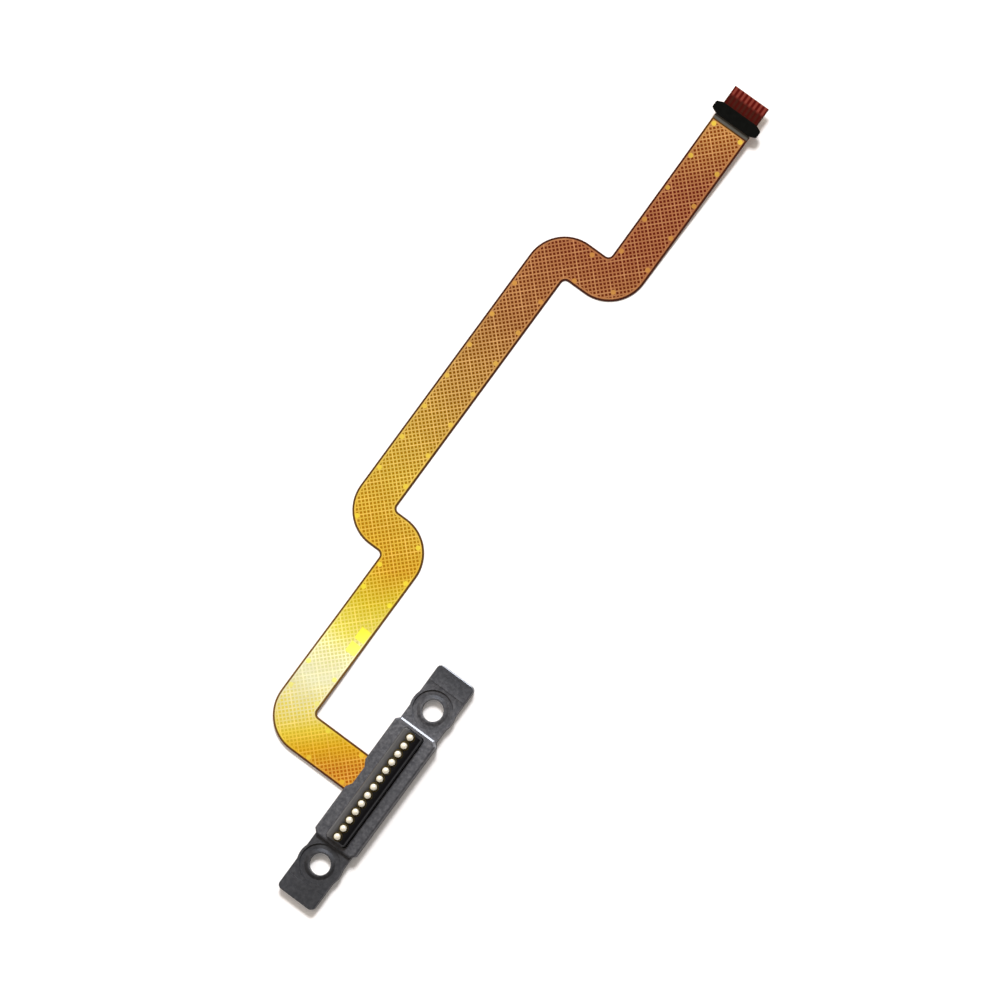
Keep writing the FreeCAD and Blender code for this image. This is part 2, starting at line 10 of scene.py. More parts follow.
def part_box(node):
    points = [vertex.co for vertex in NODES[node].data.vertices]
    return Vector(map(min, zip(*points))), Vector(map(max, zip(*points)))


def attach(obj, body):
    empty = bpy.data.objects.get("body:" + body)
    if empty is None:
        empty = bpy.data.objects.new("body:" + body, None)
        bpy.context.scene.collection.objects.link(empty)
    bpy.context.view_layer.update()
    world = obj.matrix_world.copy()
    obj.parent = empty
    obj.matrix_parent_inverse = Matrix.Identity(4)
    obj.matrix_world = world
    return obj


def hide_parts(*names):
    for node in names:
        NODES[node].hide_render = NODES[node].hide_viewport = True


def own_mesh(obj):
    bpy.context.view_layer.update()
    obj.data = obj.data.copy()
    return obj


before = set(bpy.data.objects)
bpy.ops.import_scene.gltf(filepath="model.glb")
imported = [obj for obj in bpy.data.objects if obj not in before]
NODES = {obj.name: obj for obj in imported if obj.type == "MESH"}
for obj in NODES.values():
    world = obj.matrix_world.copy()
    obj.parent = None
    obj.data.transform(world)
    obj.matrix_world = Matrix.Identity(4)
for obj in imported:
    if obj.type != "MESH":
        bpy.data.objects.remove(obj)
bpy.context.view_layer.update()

MM = 0.001

# Strip in plan: an arm out of the connector and three straight runs, joined by round bends
STRIP_WIDTH = 4.2
INNER_ROUND = 0.5
ARM_START = 2.05
FIRST_RUN = 11.3
SECOND_RUN = 17.05
THIRD_RUN = 10.35
FIRST_STEP = 20.9
SECOND_STEP = 53.38
HATCH_END = 72.6

# Strip from the side: level out of the connector, down to the table in two arcs, up to the tail
FILM_THICKNESS = 0.12
FILM_BEVEL = 0.06
FILM_STEP = 1.0
EXIT_LIFT = 0.4
DROP_START = 3.0
DROP_END = 14.0
RISE_START = 48.0
RISE_END = 70.0
TAIL_SLOPE = math.radians(4.2)

# Copper hatch: diamond openings in staggered rows, inside a solid rail
SHIELD_MARGIN = 0.2
SHIELD_THICKNESS = 0.02
RAIL_WIDTH = 0.155
HATCH_PERIOD = 0.527
OPENING_HALF = 0.17
HATCH_STEP = 0.5
FLOOR_LIFT = 0.004

# Bright traces of the hatch: one in so many, full within the core and gone beyond the fade
TRACE_BEAT = 4
TRACE_CORE = 0.06
TRACE_FADE = 0.12

# Fineness of the meshes
SHARP_ANGLE = math.radians(35)
ARC_STEP = math.radians(6)
TOLERANCE = 0.01
WELD_DISTANCE = 1e-7

# Solid copper pads along the rails
PAD_RADIUS = 0.25
PAD_INSET = 0.49
PAD_SIDES = 20
SECOND_RUN_PADS = [25.5 + 3.76 * step for step in range(7)]
THIRD_RUN_PADS = [56.8 + 3.87 * step for step in range(5)]
FIRST_RUN_PADS = [3.1, 6.0, 15.1, 17.8]
ARM_PADS = [3.1, 7.2]
BEND_PADS = [(21.35, 10.8), (51.7, 14.0), (54.8, 14.1), (53.05, 10.2), (20.35, 17.6)]
TEST_PADS = [(8.97, 10.16), (10.5, 11.85)]
TEST_PAD_ROWS = (9.5, 10.62)

# Order of the shield's materials
COPPER, PAD, OPENING = range(3)

# The strip's colours run up the arm and on along X: a place is X plus a share of Y. These colours hold
# painted light: a painted highlight on the first run and painted reflection along the rest
ARM_SHARE = 0.9
HUE_SPAN = 83.0

# Tail: two staggered rows of fingers, which show through the plate as ridges.
# The ridges run between two distances back from the tail's end
TAIL_START = 73.2
TAIL_END = 76.5
TAIL_WIDTH = 4.05
FINGER_PITCH = 0.5
RIDGE_WIDTH = 0.36
RIDGE_HEIGHT = 0.02
RIDGE_START_BACK = 1.85
RIDGE_STOP_BACK = 0.05
RIDGE_PITCHES = 4
ROW_MEETING = 75.6
ROW_BLEND = 0.15
PLATE_FOOT = 0.16
PLATE_THICKNESS = 0.12
PLATE_STEP = 0.05

# Spring contacts. A collar's profile is a radius and a height above the carrier
CONTACT_COUNT = 13
CONTACT_PITCH = 1.0
NOSE_TOP = 2.8
ROD_RADIUS = 0.33
FOOT_HEIGHT = 0.25
DOME_HEIGHT = 0.22
DOME_POWER = 2.6
DOME_RINGS = 14
DOME_SIDES = 48
COLLAR_PROFILE = [(0.49, 0.0), (0.49, 0.0315), (0.478, 0.045),
                  (0.46, 0.045), (0.39, 0.0135), (0.37, 0.0)]
COLLAR_SIDES = 40
SPRING_RADIUS = 0.28
SPRING_WIRE = 0.04
SPRING_TURNS = 5
COIL_STEPS = 16
COIL_SIDES = 6

# Painted shade along the bracket, each a place along it and a level that darkens the tabs and ends, and
# the carrier's nose, slightly crowned
BRACKET_LENGTH = 27.1
BRACKET_PAINTED_SHADE = [(-12.5, 0.28), (-9, 0.36), (-7.4, 0.42), (-7.0, 0.70), (3.0, 0.80),
                  (7.0, 0.98), (7.4, 0.92), (11, 0.78), (13, 0.26)]
NOSE_HALF = 1.15
NOSE_CROWN = 0.16

# Camera
FRAME_WIDTH = 98.52
CAMERA_DISTANCE = 510.0
CAMERA_TILT = math.radians(7)
AIM = (29.94, 7.08)
IMAGE_UP = math.radians(36.5)

# Light and table
MIDDLE = (30, 8, 0)
SKY_AXIS = (0.0, 0.2, 0.98)
SKY_STOPS = [(0.0, 0.0), (0.55, 0.01), (0.75, 0.2), (0.85, 0.9),
             (0.965, 1.0), (0.985, 0.06), (1.0, 0.03)]
SKY_SIDE = (0.55, 0.83, 0.0)
SKY_SIDE_STOPS = [(0.42, 0.0), (0.62, 1.0)]
SKY_TINT = (1.0, 0.87, 0.74)
SKY_STRENGTH = 1.8
DIM_SKY = 0.1
KEY_TOWARDS = (0.485, 0.25, 0.837)
KEY_DISTANCE = 1920
KEY_SIDE = 390
KEY_RADIANCE = 66.0
LOW_TOWARDS = (0.985, 0.12, 0.12)
LOW_DISTANCE = 520
LOW_SIDE = 120
LOW_RADIANCE = 275.0
BACKDROP_TOP = 0.14
FLOOR_REACH = 1500.0
FLOOR_LEVEL = -0.02
FLOOR_COLOUR = (0.93, 0.93, 0.95)
FLOOR_LIFT_STRENGTH = 0.12

# Noise levels between which clouds of two colours blend
CLOUD_LOW = 0.3
CLOUD_HIGH = 0.7


def film_height(x):
    """Height of the strip's underside above the table."""
    if x <= DROP_START:
        return EXIT_LIFT
    if x < DROP_END:
        span = DROP_END - DROP_START
        bend = (span ** 2 + EXIT_LIFT ** 2) / (4 * EXIT_LIFT)
        if x < DROP_START + span / 2:
            return EXIT_LIFT - bend + math.sqrt(bend ** 2 - (x - DROP_START) ** 2)
        return bend - math.sqrt(bend ** 2 - (DROP_END - x) ** 2)
    if x <= RISE_START:
        return 0.0
    climb = (RISE_END - RISE_START) / math.sin(TAIL_SLOPE)
    if x < RISE_END:
        return climb - math.sqrt(climb ** 2 - (x - RISE_START) ** 2)
    return climb * (1 - math.cos(TAIL_SLOPE)) + (x - RISE_END) * math.tan(TAIL_SLOPE)


def film_top(x):
    return film_height(x) + FILM_THICKNESS


# Plane outlines


def rounded(corners):
    """Closed outline with some corners turned into arcs. Each corner is x, y and a radius."""
    outline = []
    count = len(corners)
    for index, (x, y, radius) in enumerate(corners):
        here = Vector((x, y))
        if not radius:
            outline.append(here)
            continue
        back = (Vector(corners[index - 1][:2]) - here).normalized()
        ahead = (Vector(corners[(index + 1) % count][:2]) - here).normalized()
        centre = here + (back + ahead) * radius
        first = here + back * radius - centre
        turn = math.copysign(math.pi / 2, back.x * ahead.y - back.y * ahead.x) * -1
        steps = max(3, round(abs(turn) / ARC_STEP))
        for step in range(steps + 1):
            outline.append(centre + Matrix.Rotation(turn * step / steps, 2) @ first)
    return outline


def strip_outline(inset, start, end):
    """The strip's outline from a height on the arm to an end of the third run, drawn in by an inset."""
    half = STRIP_WIDTH / 2 - inset
    outer, inner = STRIP_WIDTH - inset, INNER_ROUND + inset
    return rounded([
        (half, start, 0),
        (half, FIRST_RUN - half, inner),
        (FIRST_STEP + half, FIRST_RUN - half, outer),
        (FIRST_STEP + half, SECOND_RUN - half, inner),
        (SECOND_STEP - half, SECOND_RUN - half, inner),
        (SECOND_STEP - half, THIRD_RUN - half, outer),
        (end, THIRD_RUN - half, 0),
        (end, THIRD_RUN + half, 0),
        (SECOND_STEP + half, THIRD_RUN + half, inner),
        (SECOND_STEP + half, SECOND_RUN + half, outer),
        (FIRST_STEP - half, SECOND_RUN + half, outer),
        (FIRST_STEP - half, FIRST_RUN + half, inner),
        (-half, FIRST_RUN + half, outer),
        (-half, start, 0),
    ])


def divided(outline, step):
    """An outline with points added so that no side is longer than a step."""
    points = []
    for a, b in zip(outline, outline[1:] + outline[:1]):
        parts = max(1, math.ceil((b - a).length / step))
        points += [a.lerp(b, part / parts) for part in range(parts)]
    return points


def rectangle(low_x, low_y, high_x, high_y):
    corners = ((low_x, low_y), (high_x, low_y), (high_x, high_y), (low_x, high_y))
    return [Vector(corner) for corner in corners]


def holds(outline, x, y):
    """True where a point lies inside an outline."""
    inside = False
    for a, b in zip(outline, outline[1:] + outline[:1]):
        if (a.y > y) != (b.y > y) and x < a.x + (b.x - a.x) * (y - a.y) / (b.y - a.y):
            inside = not inside
    return inside


def disc(x, y, radius, sides=PAD_SIDES):
    return [Vector((x + radius * math.cos(2 * math.pi * side / sides),
                    y + radius * math.sin(2 * math.pi * side / sides))) for side in range(sides)]


def pad_places():
    """Centres of the round pads, in pairs by the rails of each run and singly round the bends."""
    reach = STRIP_WIDTH / 2 - PAD_INSET
    places = list(BEND_PADS)
    for run, along in ((FIRST_RUN, FIRST_RUN_PADS), (SECOND_RUN, SECOND_RUN_PADS),
                       (THIRD_RUN, THIRD_RUN_PADS)):
        places += [(x, run + side * reach) for x in along for side in (-1, 1)]
    places += [(side * reach, y) for y in ARM_PADS for side in (-1, 1)]
    return places


# Meshes


def add_piece(name, vertices, faces, body="root", smooth=False):
    """A new object from corners in millimetres, which rides on one of the part's bodies."""
    mesh = bpy.data.meshes.new(name)
    mesh.from_pydata([tuple(c * MM for c in corner) for corner in vertices], [], faces)
    mesh.validate()
    piece = bpy.data.objects.new(name, mesh)
    bpy.context.scene.collection.objects.link(piece)
    if smooth:
        mesh.shade_smooth()
    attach(piece, body)
    return piece


def paint(piece, *materials):
    piece.data.materials.clear()
    for material in materials:
        piece.data.materials.append(material)


def smooth_flats(piece):
    """Smooth shading over gentle curves, with every real edge kept sharp."""
    piece.data.shade_smooth()
    piece.data.set_sharp_from_angle(angle=SHARP_ANGLE)


def plan_triangles(shapes):
    """Triangles over the plan that keep every shape's sides, and the points they join."""
    corners, loops = [], []
    for shape in shapes:
        loops.append(list(range(len(corners), len(corners) + len(shape))))
        corners += shape
    points, _, triangles, *_ = geometry.delaunay_2d_cdt(corners, [], loops, 0, WELD_DISTANCE)
    return points, triangles


def lathe(profile, sides, centre=(0.0, 0.0)):
    """Corners and faces of a profile turned about an upright axis. A profile point is radius, height."""
    vertices, faces, rings = [], [], []
    for radius, height in profile:
        count = 1 if radius == 0 else sides
        rings.append(range(len(vertices), len(vertices) + count))
        vertices += [(centre[0] + radius * math.cos(2 * math.pi * side / sides),
                      centre[1] + radius * math.sin(2 * math.pi * side / sides), height)
                     for side in range(count)]
    for low, high in zip(rings, rings[1:]):
        for side in range(sides):
            after = (side + 1) % sides
            ring = [low[side % len(low)], low[after % len(low)],
                    high[after % len(high)], high[side % len(high)]]
            faces.append(list(dict.fromkeys(ring)))
    return vertices, faces


def joined(parts):
    """Corners and faces of several meshes as one."""
    vertices, faces = [], []
    for corners, sides in parts:
        start = len(vertices)
        vertices += corners
        faces += [[start + index for index in side] for side in sides]
    return vertices, faces


def contact_x(index):
    return (index - (CONTACT_COUNT - 1) / 2) * CONTACT_PITCH


def nearest_opening(x, y):
    """Centre of the hatch opening nearest to a point."""
    u, v = 2 * x / HATCH_PERIOD, 2 * (y - THIRD_RUN) / HATCH_PERIOD
    a, b = round((u + v) / 2), round((u - v) / 2)
    return (a + b) * HATCH_PERIOD / 2, THIRD_RUN + (a - b) * HATCH_PERIOD / 2


def opening_places(edge):
    """Centres of all hatch openings inside the shield's edge."""
    reach = round((HATCH_END + SECOND_RUN) / HATCH_PERIOD)
    places = []
    for a in range(-reach, 2 * reach):
        for b in range(-reach, 2 * reach):
            x, y = (a + b) * HATCH_PERIOD / 2, THIRD_RUN + (a - b) * HATCH_PERIOD / 2
            if holds(edge, x, y):
                places.append((x, y))
    return places


def make_film(edge_amber, back_amber):
    """Film in one piece: the flat head under the contacts, the strip and the narrower plug-in tail."""
    low, high = (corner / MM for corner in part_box("head_stiffener"))
    head = rectangle(low.x, low.y, high.x, high.y)
    half, half_tail = STRIP_WIDTH / 2, TAIL_WIDTH / 2
    strip = strip_outline(0, 0, TAIL_START)
    tail = rectangle(TAIL_START, THIRD_RUN - half_tail, TAIL_END, THIRD_RUN + half_tail)
    # lines across the strip, where it bends up or down
    across = [(x, FIRST_RUN - half, FIRST_RUN + half, FIRST_RUN)
              for x in range(int(DROP_START) + 1, int(DROP_END) + 1)]
    across += [(x, THIRD_RUN - half_tail, SECOND_RUN + half, THIRD_RUN)
               for x in range(int(RISE_START), int(TAIL_END) + 1)]
    lines = [[Vector((x, y)) for y in places] for x, *places in across]
    outlines = [divided(outline, FILM_STEP) for outline in (head, strip, tail)]
    shoulder = divided(strip_outline(FILM_BEVEL, FILM_BEVEL, TAIL_START), FILM_STEP)
    points, triangles = plan_triangles(outlines + [shoulder] + lines)

    def level(x, y):
        return EXIT_LIFT if y < high.y + TOLERANCE else film_height(x)

    count = len(points)
    faces, sides = [], set()
    for triangle in triangles:
        x, y = sum((points[index] for index in triangle), Vector((0, 0))) / 3
        if any(holds(outline, x, y) for outline in outlines):
            faces += [[count + index for index in triangle], triangle[::-1]]
            sides |= set(zip(triangle, triangle[1:] + triangle[:1]))
    rim = [(a, b) for a, b in sides if (b, a) not in sides]
    faces += [[b, a, a + count, b + count] for a, b in rim]
    vertices = [(x, y, level(x, y) + rise) for rise in (0, FILM_THICKNESS) for x, y in points]
    for index in {index for side in rim for index in side}:
        x, y, z = vertices[count + index]
        vertices[count + index] = (x, y, z - FILM_BEVEL)
    piece = add_piece("amber_film", vertices, faces)
    paint(piece, edge_amber, back_amber)
    smooth_flats(piece)
    for face in piece.data.polygons:
        face.material_index = int(face.normal.z < -0.5)
    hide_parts("flex_film")


def make_hatch(copper, gold, floor):
    """Copper shield: solid rails and pads round a hatch whose openings go down to the film."""
    edge = strip_outline(SHIELD_MARGIN, ARM_START, HATCH_END)
    zone = strip_outline(SHIELD_MARGIN + RAIL_WIDTH, ARM_START + RAIL_WIDTH, HATCH_END - RAIL_WIDTH)
    pads = pad_places()
    low, high = TEST_PAD_ROWS
    openings = [[Vector((x + OPENING_HALF, y)), Vector((x, y + OPENING_HALF)),
                 Vector((x - OPENING_HALF, y)), Vector((x, y - OPENING_HALF))]
                for x, y in opening_places(edge)]
    points, triangles = plan_triangles(
        [divided(edge, HATCH_STEP), divided(zone, HATCH_STEP)]
        + [disc(x, y, PAD_RADIUS) for x, y in pads]
        + [rectangle(start, low, end, high) for start, end in TEST_PADS] + openings)

    def kind_at(x, y):
        """Material at a point of the shield: copper, pad or opening."""
        if any(math.hypot(x - px, y - py) < PAD_RADIUS for px, py in pads):
            return PAD
        if low < y < high and any(start < x < end for start, end in TEST_PADS):
            return PAD
        ox, oy = nearest_opening(x, y)
        if abs(x - ox) + abs(y - oy) < OPENING_HALF and holds(zone, x, y):
            return OPENING
        return COPPER

    vertices, faces, kinds, numbers, edges = [], [], [], {}, {}

    def corner(index, deep):
        if (index, deep) not in numbers:
            x, y = points[index]
            numbers[index, deep] = len(vertices)
            vertices.append((x, y, film_top(x) + (FLOOR_LIFT if deep else SHIELD_THICKNESS)))
        return numbers[index, deep]

    for triangle in triangles:
        x, y = sum((points[index] for index in triangle), Vector((0, 0))) / 3
        if not holds(edge, x, y):
            continue
        kind = kind_at(x, y)
        faces.append([corner(index, kind == OPENING) for index in triangle])
        kinds.append(kind)
        for a, b in zip(triangle, triangle[1:] + triangle[:1]):
            edges[a, b] = kind
    for (a, b), kind in edges.items():
        # a wall stands where copper meets an opening or the shield's edge
        if kind != OPENING and edges.get((b, a), OPENING) == OPENING:
            faces.append([corner(b, False), corner(a, False), corner(a, True), corner(b, True)])
            kinds.append(COPPER)
    piece = add_piece("copper_hatch", vertices, faces)
    paint(piece, copper, gold, floor)
    smooth_flats(piece)
    for face, kind in zip(piece.data.polygons, kinds):
        face.material_index = kind
    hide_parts("copper_shield")


def ridge_at(x, y):
    """Height of the ridges on the tail's plate, from 0 to 1, at a point."""
    if not TAIL_END - RIDGE_START_BACK < x < TAIL_END - RIDGE_STOP_BACK:
        return 0.0
    place = (y - THIRD_RUN) / FINGER_PITCH + (0.5 if x > ROW_MEETING else 0.0)
    if abs(place) > RIDGE_PITCHES:
        return 0.0
    away = abs(place - round(place)) * FINGER_PITCH
    return max(0.0, math.cos(math.pi * away / RIDGE_WIDTH)) ** 0.5 if away < RIDGE_WIDTH / 2 else 0.0


def make_tail_plate():
    """Stiff plate on the tail, with soft ridges where the fingers lie under it."""
    columns = round((TAIL_END - TAIL_START) / PLATE_STEP)
    rows = round(TAIL_WIDTH / PLATE_STEP)
    vertices, faces = [], []

    def number(column, row, top):
        return ((column * (rows + 1)) + row) * 2 + top

    for column in range(columns + 1):
        x = TAIL_START + (TAIL_END - TAIL_START) * column / columns
        foot = film_height(x) + PLATE_FOOT
        for row in range(rows + 1):
            y = THIRD_RUN + TAIL_WIDTH * (row / rows - 0.5)
            vertices += [(x, y, foot), (x, y, foot + PLATE_THICKNESS + RIDGE_HEIGHT * ridge_at(x, y))]
    for column in range(columns):
        for row in range(rows):
            for top in (0, 1):
                ring = [number(column, row, top), number(column + 1, row, top),
                        number(column + 1, row + 1, top), number(column, row + 1, top)]
                faces.append(ring if top else ring[::-1])
    for column in range(columns):
        for row, turn in ((0, 1), (rows, -1)):
            ring = [number(column, row, 0), number(column + 1, row, 0),
                    number(column + 1, row, 1), number(column, row, 1)]
            faces.append(ring[::turn])
    for row in range(rows):
        for column, turn in ((0, -1), (columns, 1)):
            ring = [number(column, row, 0), number(column, row + 1, 0),
                    number(column, row + 1, 1), number(column, row, 1)]
            faces.append(ring[::turn])
    piece = add_piece("ridged_tail_plate", vertices, faces)
    for face in piece.data.polygons:
        face.use_smooth = face.normal.z > 0.5
    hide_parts("tail_stiffener")
    return piece


def make_dome(index):
    """A plunger: domed end, rod and the foot that the carrier holds in."""
    low, high = (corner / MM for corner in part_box(f"contact_plunger_{index + 1:02d}"))
    shoulder = low.z + FOOT_HEIGHT
    rise = high.z - DOME_HEIGHT
    profile = [(0, shoulder), (ROD_RADIUS, shoulder), (ROD_RADIUS, rise)]
    for ring in range(1, DOME_RINGS):
        across = math.cos(math.pi / 2 * ring / DOME_RINGS)
        bulge = (1 - across ** DOME_POWER) ** (1 / DOME_POWER)
        profile.append((ROD_RADIUS * across, rise + DOME_HEIGHT * bulge))
    profile.append((0, high.z))
    rod = lathe(profile, DOME_SIDES, (contact_x(index), 0.0))
    x0, x1, y0, y1 = low.x, high.x, low.y, high.y
    foot = ([(x0, y0, low.z), (x1, y0, low.z), (x1, y1, low.z), (x0, y1, low.z),
             (x0, y0, shoulder), (x1, y0, shoulder), (x1, y1, shoulder), (x0, y1, shoulder)],
            [(3, 2, 1, 0), (4, 5, 6, 7), (0, 1, 5, 4), (1, 2, 6, 5), (2, 3, 7, 6), (3, 0, 4, 7)])
    piece = add_piece(f"contact_dome_{index + 1:02d}", *joined([rod, foot]),
                      body=f"contact_{index + 1:02d}")
    for face in piece.data.polygons:
        face.use_smooth = face.center.z / MM > rise - TOLERANCE
    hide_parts(f"contact_plunger_{index + 1:02d}")
    return piece


def make_collars():
    """Low plated ring round the mouth of each contact's hole, dished towards the contact."""
    profile = [(radius, NOSE_TOP + height) for radius, height in COLLAR_PROFILE]
    rings = [lathe(profile, COLLAR_SIDES, (contact_x(index), 0.0)) for index in range(CONTACT_COUNT)]
    piece = add_piece("contact_collars", *joined(rings), smooth=True)
    return piece


def make_coil(index):
    """A spring of round wire, in place of the part's spring."""
    low, high = (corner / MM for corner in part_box(f"contact_spring_{index + 1:02d}"))
    steps, sides = SPRING_TURNS * COIL_STEPS, COIL_SIDES
    vertices, faces = [], []
    for step in range(steps + 1):
        angle = 2 * math.pi * SPRING_TURNS * step / steps
        out = Vector((math.cos(angle), math.sin(angle), 0))
        middle = Vector((contact_x(index), 0, low.z + SPRING_WIRE
                         + (high.z - low.z - 2 * SPRING_WIRE) * step / steps))
        for side in range(sides):
            about = 2 * math.pi * side / sides
            vertices.append(tuple(middle + out * (SPRING_RADIUS + SPRING_WIRE * math.cos(about))
                                  + Vector((0, 0, SPRING_WIRE * math.sin(about)))))
    for step in range(steps):
        for side in range(sides):
            a, b = step * sides + side, step * sides + (side + 1) % sides
            faces.append((a, a + sides, b + sides, b))
    faces.append(tuple(range(sides)))
    faces.append(tuple(range(steps * sides + sides - 1, steps * sides - 1, -1)))
    piece = add_piece(f"contact_coil_{index + 1:02d}", vertices, faces, smooth=True)
    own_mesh(piece)
    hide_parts(f"contact_spring_{index + 1:02d}")
    return piece


# Materials


def new_material(name, **sockets):
    """A material with one Principled shader whose named sockets are set directly."""
    material = bpy.data.materials.new(name)
    material.use_nodes = True
    shader = material.node_tree.nodes["Principled BSDF"]
    for socket, value in sockets.items():
        shader.inputs[socket.replace("_", " ")].default_value = value
    return material


def add_node(material, kind, **settings):
    node = material.node_tree.nodes.new(kind)
    for name, value in settings.items():
        setattr(node, name, value)
    return node


def join(material, source, target):
    material.node_tree.links.new(source, target)


def shader_of(material):
    return material.node_tree.nodes["Principled BSDF"]


def feed(material, socket, source):
    """Leads a node's output to one of the shader's sockets."""
    join(material, source, shader_of(material).inputs[socket])


def noise(material, scale, detail=2.0, roughness=0.5):
    """Noise over the part's own coordinates. The scale is in waves to the millimetre."""
    coordinates = add_node(material, "ShaderNodeTexCoord")
    texture = add_node(material, "ShaderNodeTexNoise")
    texture.inputs["Scale"].default_value = scale / MM
    texture.inputs["Detail"].default_value = detail
    texture.inputs["Roughness"].default_value = roughness
    join(material, coordinates.outputs["Object"], texture.inputs["Vector"])
    return texture.outputs["Fac"]


def ramp(material, value, stops):
    """Colours over a value from 0 to 1. Each stop is a place and a colour."""
    node = add_node(material, "ShaderNodeValToRGB")
    elements = node.color_ramp.elements
    while len(elements) < len(stops):
        elements.new(0.5)
    for element, (place, colour) in zip(elements, stops):
        element.position = place
        element.color = (*colour, 1)
    join(material, value, node.inputs["Fac"])
    return node.outputs["Color"]


def greys(stops):
    """Colour stops from places and grey levels."""
    return [(place, (level, level, level)) for place, level in stops]


def clouded(material, scale, detail, dark, light):
    """Two colours in soft clouds. The scale is in waves to the millimetre."""
    return ramp(material, noise(material, scale, detail), [(CLOUD_LOW, dark), (CLOUD_HIGH, light)])


def bump(material, height, strength, distance, under=None):
    """Relief from a height, on top of an earlier one if there is any. The distance is in millimetres."""
    node = add_node(material, "ShaderNodeBump")
    node.inputs["Strength"].default_value = strength
    node.inputs["Distance"].default_value = distance * MM
    join(material, height, node.inputs["Height"])
    if under:
        join(material, under, node.inputs["Normal"])
    feed(material, "Normal", node.outputs["Normal"])
    return node.outputs["Normal"]


def spread(material, value, low, high):
    """A value from 0 to 1 spread between two numbers."""
    node = add_node(material, "ShaderNodeMapRange")
    node.inputs["To Min"].default_value = low
    node.inputs["To Max"].default_value = high
    join(material, value, node.inputs["Value"])
    return node.outputs["Result"]


def fade(material, value, start, end):
    """0 at one distance and 1 at another, both in millimetres."""
    node = add_node(material, "ShaderNodeMapRange")
    node.inputs["From Min"].default_value = start * MM
    node.inputs["From Max"].default_value = end * MM
    join(material, value, node.inputs["Value"])
    return node.outputs["Result"]


def blend_colours(material, amount, first, second, kind="MIX"):
    """One colour over another. The amount and the colours are values or other nodes' outputs."""
    node = add_node(material, "ShaderNodeMix", data_type="RGBA", blend_type=kind)
    for socket, colour in (("A", first), ("B", second)):
        target = [s for s in node.inputs if s.name == socket and s.type == "RGBA"][0]
        if isinstance(colour, tuple):
            target.default_value = (*colour, 1)
        else:
            join(material, colour, target)
    target = [s for s in node.inputs if s.name == "Factor" and s.type == "VALUE"][0]
    if isinstance(amount, float):
        target.default_value = amount
    else:
        join(material, amount, target)
    return [s for s in node.outputs if s.type == "RGBA"][0]


def calculate(material, operation, *values):
    """A number worked out from others. Each value is a number or another node's output."""
    node = add_node(material, "ShaderNodeMath", operation=operation)
    for socket, value in zip(node.inputs, values):
        if isinstance(value, (int, float)):
            socket.default_value = value
        else:
            join(material, value, socket)
    return node.outputs[0]


def part_axes(material):
    """X, Y and Z of the part's own frame, in metres."""
    coordinates = add_node(material, "ShaderNodeTexCoord")
    parts = add_node(material, "ShaderNodeSeparateXYZ")
    join(material, coordinates.outputs["Object"], parts.inputs[0])
    return parts.outputs


def along_strip(material, stops):
    """Colours along the strip, up the arm and on to the tail. A stop's place is X plus a share of Y."""
    axes = part_axes(material)
    rise = calculate(material, "MINIMUM", axes["Y"], FIRST_RUN * MM)
    place = calculate(material, "MULTIPLY_ADD", rise, ARM_SHARE, axes["X"])
    share = calculate(material, "MULTIPLY", place, 1 / (HUE_SPAN * MM))
    return ramp(material, share, [(at / HUE_SPAN, colour) for at, colour in stops])


def bright_traces(material):
    """Up to 1 along every few traces of the hatch, both ways and in patches, and 0 elsewhere."""
    axes = part_axes(material)
    across = calculate(material, "SUBTRACT", axes["Y"], THIRD_RUN * MM)
    marks = []
    for operation in ("ADD", "SUBTRACT"):
        lean = calculate(material, operation, axes["X"], across)
        from_trace = calculate(material, "SUBTRACT", lean, HATCH_PERIOD / 2 * MM)
        away = calculate(material, "PINGPONG", from_trace, TRACE_BEAT * HATCH_PERIOD / 2 * MM)
        marks.append(fade(material, away, TRACE_FADE, TRACE_CORE))
    patches = spread(material, noise(material, 0.45, detail=1), -0.7, 1.9)
    return calculate(material, "MULTIPLY", calculate(material, "MAXIMUM", *marks), patches)


def bracket_plastic():
    """Matte, mottled slate grey, with painted shade that makes the tabs and ends darker than the block.
    """
    material = new_material("bracket_plastic", Roughness=0.5, Specular_IOR_Level=0.5,
                            Specular_Tint=(0.80, 0.86, 1.0, 1.0))
    base = clouded(material, 0.7, 4, (0.030, 0.030, 0.034), (0.047, 0.047, 0.051))
    blotch = noise(material, 2.6, detail=5, roughness=0.62)
    speck = ramp(material, blotch, greys([(0.42, 0.0), (0.72, 1.0)]))
    mottled = blend_colours(material, speck, base, (0.100, 0.099, 0.105))
    # painted shade along X: the tabs and ends darker than the block
    along = calculate(material, "MULTIPLY_ADD", part_axes(material)["X"], 1 / (BRACKET_LENGTH * MM), 0.5)
    painted_shade_stops = [(place / BRACKET_LENGTH + 0.5, level) for place, level in BRACKET_PAINTED_SHADE]
    painted_shade = ramp(material, along, greys(painted_shade_stops))
    feed(material, "Base Color", blend_colours(material, 1.0, mottled, painted_shade, "MULTIPLY"))
    feed(material, "Roughness", spread(material, blotch, 0.40, 0.60))
    bump(material, blotch, 0.5, 0.05)
    return material


